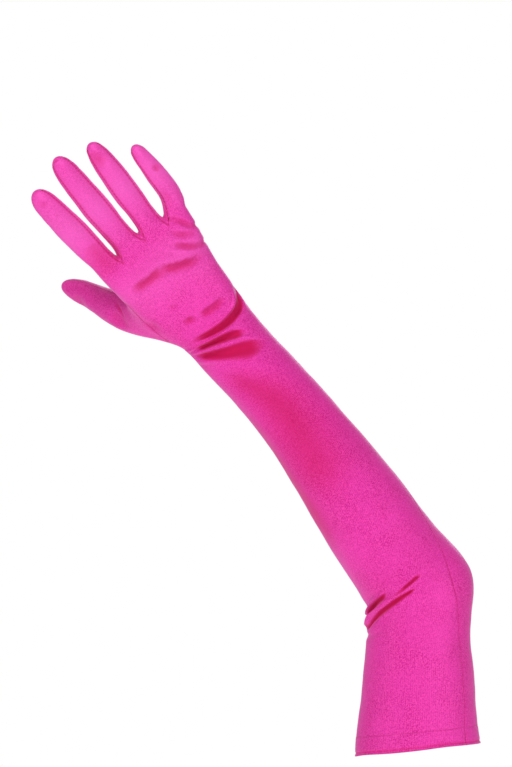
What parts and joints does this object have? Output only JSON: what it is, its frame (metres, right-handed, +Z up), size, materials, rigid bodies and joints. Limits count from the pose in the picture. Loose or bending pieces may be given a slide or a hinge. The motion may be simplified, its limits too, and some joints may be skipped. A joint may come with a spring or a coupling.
{
  "type": "long satin glove",
  "caption": "Long satin glove for a right hand, in the form it has on a bent arm, with set-in thumb, strips between the fingers, side seam and turned hem.",
  "frame": {"origin": "centre of the arm opening, at the hem's edge, where the arm goes in", "axes": "+Z up along the upper arm, away from the opening; -Y to the side of the hand's back; the elbow bends the forearm towards -X"},
  "size_m": [0.3336, 0.1039, 0.4573],
  "materials": {
    "trank_satin": "satin",
    "thumb_satin": "satin",
    "fourchette_index_middle_satin": "satin",
    "fourchette_middle_ring_satin": "satin",
    "fourchette_ring_little_satin": "satin",
    "hem_band_satin": "satin"
  },
  "bodies": {
    "root": {"trank": "trank_satin", "thumb": "thumb_satin", "fourchette_index_middle": "fourchette_index_middle_satin", "fourchette_middle_ring": "fourchette_middle_ring_satin", "fourchette_ring_little": "fourchette_ring_little_satin", "hem_band": "hem_band_satin"}
  },
  "joints": []
}
